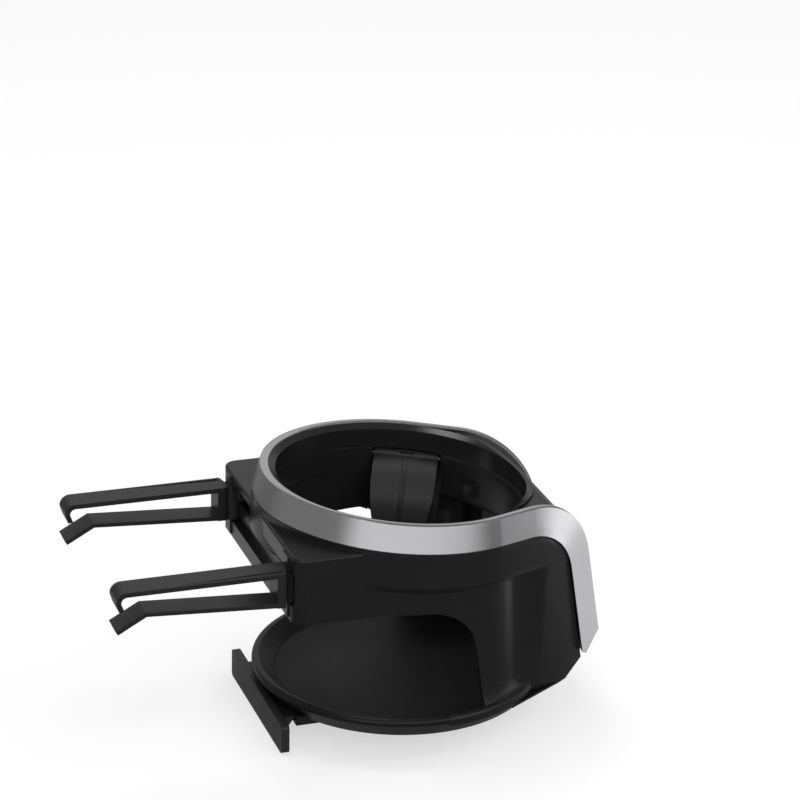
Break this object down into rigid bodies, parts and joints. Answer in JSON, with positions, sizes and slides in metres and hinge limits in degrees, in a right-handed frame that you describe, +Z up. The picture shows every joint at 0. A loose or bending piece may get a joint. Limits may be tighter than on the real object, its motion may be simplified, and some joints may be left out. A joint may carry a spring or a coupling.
{
  "type": "car vent cup holder",
  "caption": "Round cup holder with a silver ribbon ring, sprung grip arms, a dished tray, a sliding rear foot and hooked clips that hang it from the slats of a car's air vent.",
  "frame": {"origin": "midway between the two vent clips, half-way up their gaps, where a vent slat's front edge meets the clips' roots", "axes": "+Z up, +Y towards the vent, -Y towards the user, +X to the user's right"},
  "size_m": [0.0916, 0.1594, 0.0803],
  "materials": {
    "silver_trim": "satin silver plating",
    "front_apron": "fine grain",
    "front_panel": "gloss",
    "body": "semi-gloss",
    "tray": "matte",
    "foot": "satin",
    "grip": "satin",
    "clip": "satin",
    "steel": "plain"
  },
  "bodies": {
    "holder": {"silver_trim": "silver_trim", "front_apron": "front_apron", "front_panel": "front_panel", "housing": "body", "collar": "body", "tray": "tray", "grip_pin_rear": "steel", "grip_pin_right": "steel", "grip_pin_left": "steel", "grip_spring_rear": "steel", "grip_spring_right": "steel", "grip_spring_left": "steel", "clip_pin_left": "steel", "clip_pin_right": "steel", "base_screw_front_left": "steel", "base_screw_front_right": "steel", "base_screw_rear_left": "steel", "base_screw_rear_right": "steel"},
    "right_clip": {"vent_clip_right": "clip"},
    "left_clip": {"vent_clip_left": "clip"},
    "foot": {"support_foot": "foot"},
    "rear_grip": {"grip_arm_rear": "grip"},
    "right_grip": {"grip_arm_right": "grip"},
    "left_grip": {"grip_arm_left": "grip"}
  },
  "joints": [
    {"name": "right_clip_swivel", "type": "hinge", "parent": "holder", "child": "right_clip", "pos_m": [0.0312, -0.0058, 0], "axis": [0, 0, 1], "range_deg": [-12, 25]},
    {"name": "left_clip_swivel", "type": "hinge", "parent": "holder", "child": "left_clip", "pos_m": [-0.0312, -0.0058, 0], "axis": [0, 0, -1], "range_deg": [-12, 25]},
    {"name": "foot_slide", "type": "slide", "parent": "holder", "child": "foot", "axis": [0, 1, 0], "range_m": [0, 0.022]},
    {"name": "rear_grip_hinge", "type": "hinge", "parent": "holder", "child": "rear_grip", "pos_m": [0, -0.0095, 0.01009], "axis": [1, 0, 0], "range_deg": [0, 25], "stiffness_Nm_per_rad": 0.06, "springref_deg": -14.32},
    {"name": "right_grip_hinge", "type": "hinge", "parent": "holder", "child": "right_grip", "pos_m": [0.03714, -0.06493, 0.00593], "axis": [-0.3827, -0.9213, -0.0693], "range_deg": [0, 25], "stiffness_Nm_per_rad": 0.06, "springref_deg": -14.32},
    {"name": "left_grip_hinge", "type": "hinge", "parent": "holder", "child": "left_grip", "pos_m": [-0.03714, -0.06493, 0.00593], "axis": [-0.3827, 0.9213, 0.0693], "range_deg": [0, 25], "stiffness_Nm_per_rad": 0.06, "springref_deg": -14.32}
  ]
}
